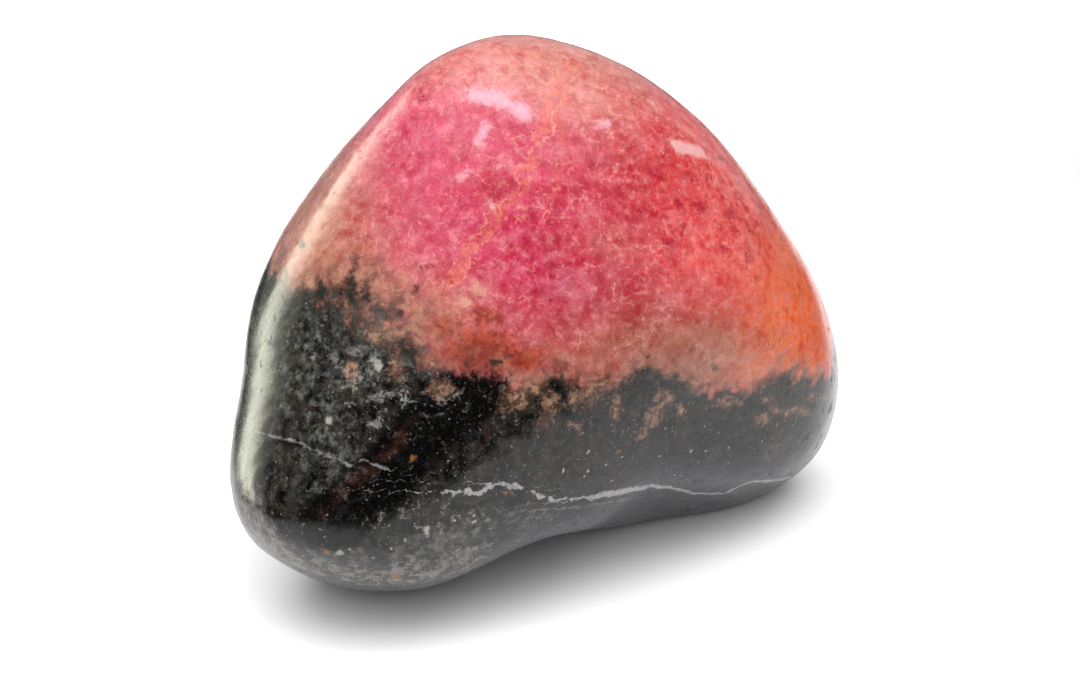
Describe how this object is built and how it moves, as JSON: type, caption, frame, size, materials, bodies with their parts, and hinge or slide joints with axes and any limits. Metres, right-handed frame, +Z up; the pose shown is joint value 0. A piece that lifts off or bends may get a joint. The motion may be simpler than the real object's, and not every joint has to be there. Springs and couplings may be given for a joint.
{
  "type": "rhodonite specimen",
  "caption": "Tumbled rhodonite pebble: a plump three-cornered stone, rose-red above and black with manganese oxide below, standing on its worn base.",
  "frame": {"origin": "middle of the stone's bounding box at the plane of its base, which lies on the table", "axes": "+Z up; the stone's front, the side the picture shows, looks along -Y; +X is to its right"},
  "size_m": [0.0322, 0.0256, 0.0292],
  "materials": {
    "stone": "tumbled polish, rose-red rhodonite with black manganese oxide and a white quartz vein"
  },
  "bodies": {
    "root": {"rhodonite_pebble": "stone"}
  },
  "joints": []
}
